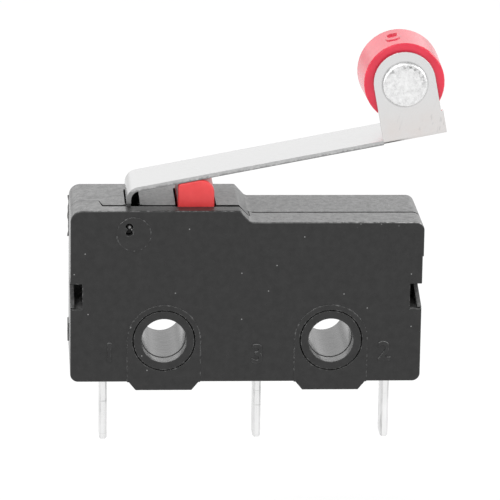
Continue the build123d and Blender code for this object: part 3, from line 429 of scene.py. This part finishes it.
def sheet_steel():
    """Bright rolled strip: an ear painted brighter than the strip and darker and warmer towards its bottom, a
    painted shadow round the rivet, torn sheared edges and lug ends painted dark as shade.
    """
    material, tree, shader, position = start_material("sheet_steel")
    tones = greys(STEEL_GREYS)
    rise = radians(LEVER_RISE)
    lines = noise(tree, stretch(tree, position, (0.18, 2.6, 1.2), (0, -rise, 0)), 2.0, 3.0, 0.6)
    broad_cloud = noise(tree, position, 0.9, 4.0, 0.6)
    tear = noise(tree, position, 6.0, 4.0, 0.75)
    lined = remap(tree, lines, *MOST_OF_NOISE)
    colour = mix_colours(tree, lined, tones["dark line"], tones["light line"])

    # The ear is painted a little brighter than the strip: painted light, for both are the same steel. Its lower
    # part turns darker and warmer towards the bottom, with a few scratches.
    along = height_along(tree, position, (cos(rise), 0, sin(rise)), tuple(PIVOT))
    above = height_along(tree, position, (-sin(rise), 0, cos(rise)), tuple(PIVOT))
    above = calculate(tree, "SUBTRACT", above, LEVER_HEIGHT)
    facing = calculate(tree, "ABSOLUTE", surface_normal(tree)["Y"])
    past_start = is_over(tree, along, EAR_START)
    at_root = multiply(tree, past_start, is_over(tree, facing, ROOT_FACES_OUT))
    above_strip = is_over(tree, above, LEVER_THICKNESS + EAR_MARGIN)
    on_ear = calculate(tree, "MAXIMUM", above_strip, at_root)
    colour = mix_colours(tree, on_ear, colour, tones["ear"])
    low_ear = multiply(tree, on_ear, remap(tree, above, 2 * LEVER_THICKNESS, LOW_TONE_TOP, 0.8, 0.0))
    darker_low_ear = multiply(tree, low_ear, remap(tree, broad_cloud, *MIDDLE_OF_NOISE, 0.4, 1.0))
    colour = mix_colours(tree, darker_low_ear, colour, EAR_LOW_TONE)
    leaning = stretch(tree, position, (4.0, 4.0, 1.1), (0, SCRATCH_LEAN, 0))
    scratches = remap(tree, noise(tree, leaning, 1.6, 2.0, 0.5), 0.62, 0.7, 0.0, 0.4)
    scratched = multiply(tree, low_ear, scratches)
    colour = mix_colours(tree, scratched, colour, tones["scratch"])
    # A painted shadow rings the rivet's head on the ear
    head = distance_from_axis(tree, position, tuple(ROLLER_CENTRE))
    rivet_shadow = remap(tree, head, RIVET_HEAD_RADIUS, RIVET_HEAD_RADIUS + RIVET_SHADOW_WIDTH, 0.6, 0.0)
    colour = mix_colours(tree, rivet_shadow, colour, tones["round rivet"])

    # The sheared edges of the strip and the tab are grey, and torn along the bottom
    below_ear = is_under(tree, above, LEVER_THICKNESS)
    on_strip = is_under(tree, along, EAR_START)
    cut_edge = multiply(tree, is_over(tree, facing, SIDE_FACES_OUT), below_ear, on_strip)
    cut = multiply(tree, cut_edge, remap(tree, tear, 0.35, 0.62, 0.25, 0.75))
    colour = mix_colours(tree, cut, colour, tones["cut edge"])
    torn_heights = [share * LEVER_THICKNESS for share in TORN_SHARES]
    torn_to = remap(tree, tear, *MIDDLE_OF_NOISE, *torn_heights)
    torn_below = calculate(tree, "LESS_THAN", above, torn_to)
    torn = multiply(tree, torn_below, is_over(tree, facing, SIDE_FACES_OUT))
    colour = mix_colours(tree, multiply(tree, torn, 0.6), colour, tones["torn edge"])
    uneven = remap(tree, tear, *MIDDLE_OF_NOISE, 0.1, 0.6)
    edges = multiply(tree, edge_mask(tree, 0.03), uneven)
    colour = mix_colours(tree, edges, colour, tones["sharp edge"])

    # The ends of the lugs are painted dark as shade, all round a bright spot
    lug_end = is_under(tree, split(tree, position)["Y"], LUG_END_Y + SURFACE_MARGIN)
    from_spot = distance_from_axis(tree, position, tuple(PIVOT + BRIGHT_SPOT))
    lug_end_shade = multiply(tree, lug_end, remap(tree, from_spot, *BRIGHT_SPOT_RADII))
    colour = mix_colours(tree, lug_end_shade, colour, tones["lug end"])

    skin = remap(tree, lines, *MOST_OF_NOISE, 0.24, 0.28)
    rough = multiply(tree, calculate(tree, "MAXIMUM", torn, cut_edge), 0.55)
    roughness = calculate(tree, "MAXIMUM", skin, rough)
    normal = bump(tree, lines, 0.004, 0.06, soften_edges(tree, 0.03))
    normal = bump(tree, broad_cloud, 0.01, 0.1, normal)
    plug_in(tree, shader, colour, roughness, normal, metallic=1.0)
    return material


# Rivet: its grey levels, and the ring of its head that is chipped, in shares of the radius
RIVET_GREYS = {"dark dent": 0.66, "light dent": 0.84, "chip": 0.2, "sharp edge": 0.35}
CHIPPED_RING_STARTS = (0.68, 0.8)
CHIPPED_RING_STOPS = (0.88, 0.94)
CHIPPED_SIDE = (0.3, 0, 0.95)
CHIPPED_SIDE_FADE = 0.6


def staked_steel():
    """The rivet: bright, dented by the staking tool, chipped along the upper rim."""
    material, tree, shader, position = start_material("staked_steel")
    tones = greys(RIVET_GREYS)
    dents = noise(tree, position, 4.5, 4.0, 0.75)
    cells = add_node(tree, "ShaderNodeTexVoronoi", {"Vector": position, "Scale": 5.5})
    dented = remap(tree, dents, *MIDDLE_OF_NOISE)
    colour = mix_colours(tree, dented, tones["dark dent"], tones["light dent"])
    radius = distance_from_axis(tree, position, tuple(ROLLER_CENTRE))
    starts = [share * RIVET_HEAD_RADIUS for share in CHIPPED_RING_STARTS]
    stops = [share * RIVET_HEAD_RADIUS for share in CHIPPED_RING_STOPS]
    rim = remap(tree, radius, *starts)
    inside = remap(tree, radius, *stops, 1.0, 0.0)
    height = height_along(tree, position, CHIPPED_SIDE, tuple(ROLLER_CENTRE))
    upper = remap(tree, height, 0.0, CHIPPED_SIDE_FADE)
    chips = remap(tree, noise(tree, position, 6.5, 3.0, 0.7), *CHIPPED_OF_NOISE, 0.0, 0.85)
    chipped = multiply(tree, rim, inside, upper, chips)
    colour = mix_colours(tree, chipped, colour, tones["chip"])
    edges = multiply(tree, edge_mask(tree, 0.05), 0.4)
    colour = mix_colours(tree, edges, colour, tones["sharp edge"])
    roughness = remap(tree, dents, *MOST_OF_NOISE, 0.2, 0.45)
    normal = bump(tree, dents, 0.05, 0.6, soften_edges(tree, 0.05))
    normal = bump(tree, cells.outputs["Distance"], 0.03, 0.3, normal)
    plug_in(tree, shader, colour, roughness, normal, metallic=1.0)
    return material


# Pins: their grey levels
TIN_GREYS = {
    "dark drip": 0.75, "light drip": 0.85, "streak": 0.36, "cross mark": 0.4, "sharp edge": 0.4,
}


def tin_plate():
    """Bright tin over brass: soft drips along the pin, cross marks, and streaks over a painted shade on the
    flanks.
    """
    material, tree, shader, position = start_material("tin_plate")
    tones = greys(TIN_GREYS)
    drips = noise(tree, stretch(tree, position, (2.0, 2.0, 0.35)), 1.6)
    grain = noise(tree, position, 8.0, 3.0, 0.6)
    dripped = remap(tree, drips, *MOST_OF_NOISE)
    colour = mix_colours(tree, dripped, tones["dark drip"], tones["light drip"])
    flanks = calculate(tree, "ABSOLUTE", surface_normal(tree)["X"])
    streaks = noise(tree, stretch(tree, position, (2.0, 2.0, 0.3)), 1.8, 3.0, 0.7)
    # The flanks are darker everywhere as painted shade, and darker still along the streaks
    flank_shade_and_streaks = multiply(tree, flanks, remap(tree, streaks, 0.5, 0.66, 0.25, 1.0))
    colour = mix_colours(tree, flank_shade_and_streaks, colour, tones["streak"])
    crossing = noise(tree, stretch(tree, position, (0.3, 0.3, 4.0)), 1.2, 2.0, 0.5)
    crossed = remap(tree, crossing, 0.66, 0.72, 0.0, 0.4)
    colour = mix_colours(tree, crossed, colour, tones["cross mark"])
    edges = multiply(tree, edge_mask(tree, 0.04), 0.35)
    colour = mix_colours(tree, edges, colour, tones["sharp edge"])
    roughness = remap(tree, drips, *MOST_OF_NOISE, 0.22, 0.4)
    normal = bump(tree, drips, 0.03, 0.3, soften_edges(tree, 0.04))
    normal = bump(tree, grain, 0.008, 0.2, normal)
    plug_in(tree, shader, colour, roughness, normal, metallic=1.0)
    return material


def spring_metal(name, deep, pale, roughness):
    """A metal for the inner pieces, with light rolling lines."""
    material, tree, shader, position = start_material(name)
    lines = noise(tree, stretch(tree, position, (0.3, 3.0, 1.0)), 2.5)
    colour = mix_colours(tree, lines, deep, pale)
    skin = remap(tree, lines, *MOST_OF_NOISE, roughness, roughness + 0.15)
    plug_in(tree, shader, colour, skin, bump(tree, lines, 0.008, 0.2), metallic=1.0)
    return material


def dress(material, *nodes):
    """Gives CAD nodes their material."""
    for name in nodes:
        slots = frame["nodes"][name].data.materials
        slots.clear()
        slots.append(material)


BLACK = housing_plastic()
BUTTON_RED = red_plastic("button_red", (0.74, 0.045, 0.05, 1.0), (0.84, 0.07, 0.072, 1.0), 0.3)
ROLLER_RED = red_plastic("roller_red", (0.64, 0.018, 0.048, 1.0), (0.76, 0.03, 0.07, 1.0), 0.13)
dress(BLACK, "case", "cover")
dress(BUTTON_RED, "plunger")
dress(ROLLER_RED, "roller")
dress(sheet_steel(), "lever")
dress(staked_steel(), "roller_rivet")
dress(tin_plate(), "common_terminal", "normally_open_terminal", "normally_closed_terminal")
dress(
    spring_metal("contact_silver", grey(0.72), grey(0.88), 0.25),
    "normally_open_contact", "normally_closed_contact", "moving_contact",
)
dress(
    spring_metal("spring_copper", (0.6, 0.33, 0.16, 1.0), (0.8, 0.5, 0.28, 1.0), 0.25),
    "moving_blade", "snap_spring",
)


def add_object(name, data):
    """A new object in the scene."""
    made = bpy.data.objects.new(name, data)
    bpy.context.scene.collection.objects.link(made)
    return made


# Raised terminal numbers on the front of the cover, beside the mounting holes
NUMBER_HEIGHT = 1.15
FONT_SIZE_PER_HEIGHT = 1.35
NUMBER_RISE = 0.05
NUMBER_BEVEL = 0.035
FRONT_FACE_Y = -3.15
TERMINAL_NUMBERS = {"1": (-7.85, -0.75), "3": (0.57, -0.85), "2": (7.8, -0.7)}


def raised_number(text, x, z):
    """A number that stands out of the cover's face, as a mesh."""
    curve = bpy.data.curves.new(f"number_{text}", "FONT")
    curve.body = text
    curve.align_x = "CENTER"
    curve.align_y = "CENTER"
    curve.size = NUMBER_HEIGHT * FONT_SIZE_PER_HEIGHT * MM
    curve.extrude = NUMBER_RISE * MM
    curve.bevel_depth = NUMBER_BEVEL * MM
    curve.bevel_resolution = 2
    shape = bpy.data.objects.new("shape", curve)
    mesh = bpy.data.meshes.new_from_object(shape)
    bpy.data.objects.remove(shape)
    place = Matrix.Translation(Vector((x, FRONT_FACE_Y, z)) * MM)
    mesh.transform(place @ Matrix.Rotation(pi / 2, 4, "X"))
    mesh.materials.append(BLACK)
    number = add_object(f"terminal_number_{text}", mesh)
    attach(number, "housing")


for number_text, (number_x, number_z) in TERMINAL_NUMBERS.items():
    raised_number(number_text, number_x, number_z)


def close_loops(shape, loops):
    """Joins loops of points one after the other into a solid, and closes its first and last."""
    for lower, upper in zip(loops, loops[1:]):
        for step in range(len(lower)):
            after = (step + 1) % len(lower)
            shape.faces.new((lower[step], lower[after], upper[after], upper[step]))
    shape.faces.new(loops[0])
    shape.faces.new(loops[-1])


def finish_piece(name, shape, material, body):
    """Turns mesh data in millimetres into a piece that rides with a body."""
    bmesh.ops.recalc_face_normals(shape, faces=shape.faces)
    mesh = bpy.data.meshes.new(name)
    shape.to_mesh(mesh)
    shape.free()
    mesh.transform(Matrix.Scale(MM, 4))
    mesh.materials.append(material)
    piece = add_object(name, mesh)
    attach(piece, body)


# The mark of the moulding gate on the roller's tread: a low pad with a broken nub. Each ring has
# its share of the pad's outline and of its rise, and the first lies below the tread.
MARK_TURN = radians(-14.5)
MARK_SIDES = 40
MARK_RINGS = ((1.0, -0.05), (1.0, 0.7), (0.82, 1.0), (0.35, 0.8))
MARK_PADS = (
    {"half": (0.42, 0.62), "centre": (0.02, -0.1), "rise": 0.045, "wobble": 0.03},
    {"half": (0.24, 0.1), "centre": (0.03, 0.32), "rise": 0.12, "wobble": 0.25},
)


def on_tread(along, across, rise):
    """A point above the tread: along its turn and across its width, seen from the mark."""
    radius = ROLLER_MIDDLE_RADIUS + across * sin(radians(ROLLER_DRAFT)) + rise
    turn = MARK_TURN + along / ROLLER_MIDDLE_RADIUS
    return ROLLER_CENTRE + Vector((radius * sin(turn), across, radius * cos(turn)))


def tread_mark():
    """The gate mark, raised just above the tread."""
    shape = bmesh.new()
    for pad in MARK_PADS:
        rings = []
        for share, rise in MARK_RINGS:
            height = pad["rise"] * rise if rise > 0 else rise
            ring = []
            for step in range(MARK_SIDES):
                angle = 2 * pi * step / MARK_SIDES
                reach = share * (1 + pad["wobble"] * sin(3 * angle + 1) * cos(5 * angle))
                along = pad["centre"][0] + pad["half"][0] * reach * cos(angle)
                across = pad["centre"][1] + pad["half"][1] * reach * sin(angle)
                ring.append(shape.verts.new(on_tread(along, across, height)))
            rings.append(ring)
        close_loops(shape, rings)
    finish_piece("roller_gate_mark", shape, ROLLER_RED, "roller")


# Thin moulding flash that narrows the pivot slot in the cover, halfway down
FLASH_OUTLINES = (
    ((-6.985, 6.66), (-6.83, 6.5), (-6.87, 6.44), (-6.985, 6.22)),
    ((-6.515, 6.6), (-6.655, 6.52), (-6.63, 6.46), (-6.515, 6.3)),
)
FLASH_FRONT = -3.14
FLASH_THICKNESS = 0.07


def slot_flash():
    """Two slivers of plastic on the sides of the pivot slot."""
    shape = bmesh.new()
    for outline in FLASH_OUTLINES:
        layers = [
            [shape.verts.new((x, FLASH_FRONT + depth, z)) for x, z in outline]
            for depth in (0, FLASH_THICKNESS)
        ]
        close_loops(shape, layers)
    finish_piece("pivot_slot_flash", shape, BLACK, "housing")


# Torn moulding flash along the upper part of the left end, close to its rear edge. The section's
# corners are given as shares of the thickness, and the ragged reach as waves on a middle.
FIN_BOTTOM = 4.5
FIN_TOP = 6.95
FIN_STEPS = 48
FIN_REACH = 0.1
FIN_BACK = 3.02
FIN_THICKNESS = 0.08
FIN_ROOT = 0.03
FIN_TIP_SHARES = (0.35, 0.65)
FIN_MIDDLE = 0.6
FIN_LEAST = 0.12


def fin_reach(share):
    """How far the fin stands out at a share of its length."""
    ragged = FIN_MIDDLE + 0.22 * sin(11 * share + 2) + 0.14 * sin(27 * share + 1)
    return FIN_REACH * max(ragged, FIN_LEAST)


def end_flash():
    """A ragged fin that stands out of the left end."""
    shape = bmesh.new()
    root = BODY_LEFT + FIN_ROOT
    front = FIN_BACK - FIN_THICKNESS
    tip_back, tip_front = [FIN_BACK - share * FIN_THICKNESS for share in FIN_TIP_SHARES]
    sections = []
    for step in range(FIN_STEPS + 1):
        share = step / FIN_STEPS
        z = FIN_BOTTOM + (FIN_TOP - FIN_BOTTOM) * share
        tip = BODY_LEFT - fin_reach(share)
        section = ((root, FIN_BACK), (tip, tip_back), (tip, tip_front), (root, front))
        sections.append([shape.verts.new((x, y, z)) for x, y in section])
    close_loops(shape, sections)
    finish_piece("end_flash", shape, BLACK, "housing")


tread_mark()
slot_flash()
end_flash()


def light_path_white(tree):
    """1 for rays from the camera, a reflection or a transmission, and 0 for diffuse light."""
    path = add_node(tree, "ShaderNodeLightPath").outputs
    either = calculate(tree, "MAXIMUM", path["Is Camera Ray"], path["Is Glossy Ray"])
    return calculate(tree, "MAXIMUM", either, path["Is Transmission Ray"])


def set_sky():
    """An even white surrounding that lights softly and shows as white."""
    world = bpy.data.worlds.new("sky")
    bpy.context.scene.world = world
    world.use_nodes = True
    tree = world.node_tree
    tree.nodes.clear()
    strength = remap(tree, light_path_white(tree), 0.0, 1.0, SKY_LIGHT, 1.0)
    sky = add_node(tree, "ShaderNodeBackground", {"Color": grey(1.0), "Strength": strength})
    output = add_node(tree, "ShaderNodeOutputWorld")
    tree.links.new(sky.outputs["Background"], output.inputs["Surface"])


def lay_floor():
    """A plain pale floor that shows as white away from the shadow."""
    low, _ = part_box("common_terminal")
    mesh = bpy.data.meshes.new("floor")
    shape = bmesh.new()
    bmesh.ops.create_grid(shape, x_segments=1, y_segments=1, size=FLOOR_SIZE / 2 * MM)
    shape.to_mesh(mesh)
    shape.free()
    mesh.transform(Matrix.Translation((0, 0, low.z - FLOOR_BELOW_PINS * MM)))
    material = bpy.data.materials.new("floor")
    material.use_nodes = True
    tree = material.node_tree
    tree.nodes.clear()
    matt = add_node(tree, "ShaderNodeBsdfDiffuse", {"Color": grey(FLOOR_COLOUR)}).outputs["BSDF"]
    shown = add_node(
        tree, "ShaderNodeEmission", {"Color": grey(1.0), "Strength": SHOWN_WHITE}
    ).outputs["Emission"]
    share = multiply(tree, light_path_white(tree), SHOWN_SHARE)
    mixed = add_node(tree, "ShaderNodeMixShader", {0: share, 1: matt, 2: shown})
    output = add_node(tree, "ShaderNodeOutputMaterial")
    tree.links.new(mixed.outputs["Shader"], output.inputs["Surface"])
    mesh.materials.append(material)
    floor = add_object("floor", mesh)


def hang_lamp(name, place, size, level):
    """A soft lamp aimed at the switch. The level is the brightness it gives a white card there."""
    lamp = bpy.data.lights.new(name, "AREA")
    lamp.shape = "RECTANGLE"
    lamp.size, lamp.size_y = size[0] * MM, size[1] * MM
    towards = Vector(CAMERA_TARGET) - Vector(place)
    lamp.energy = level * (pi * towards.length * MM) ** 2
    holder = add_object(name, lamp)
    holder.location = Vector(place) * MM
    holder.rotation_euler = towards.to_track_quat("-Z", "Y").to_euler()


def set_camera():
    """The camera that was worked out from the photograph's outlines."""
    turn = radians(CAMERA_TO_THE_LEFT)
    fall = radians(CAMERA_ELEVATION)
    roll = radians(CAMERA_ROLL)
    ahead = Vector((sin(turn) * cos(fall), cos(turn) * cos(fall), -sin(fall)))
    level_right = Vector((cos(turn), -sin(turn), 0))
    level_up = level_right.cross(ahead)
    right = cos(roll) * level_right + sin(roll) * level_up
    up = cos(roll) * level_up - sin(roll) * level_right
    camera = bpy.data.cameras.new("camera")
    camera.sensor_width = SENSOR_WIDTH
    camera.lens = FOCAL_LENGTH_PX / FRAME_WIDTH_PX * SENSOR_WIDTH
    camera.clip_start = CAMERA_NEAREST * MM
    camera.clip_end = CAMERA_FARTHEST * MM
    holder = add_object("camera", camera)
    axes = Matrix((right, up, -ahead)).transposed().to_4x4()
    place = (Vector(CAMERA_TARGET) - ahead * CAMERA_DISTANCE) * MM
    holder.matrix_world = Matrix.Translation(place) @ axes
    bpy.context.scene.camera = holder


set_sky()
lay_floor()
for lamp_name, lamp_settings in LAMPS.items():
    hang_lamp(lamp_name, **lamp_settings)
set_camera()
bpy.context.scene.view_settings.view_transform = "Standard"
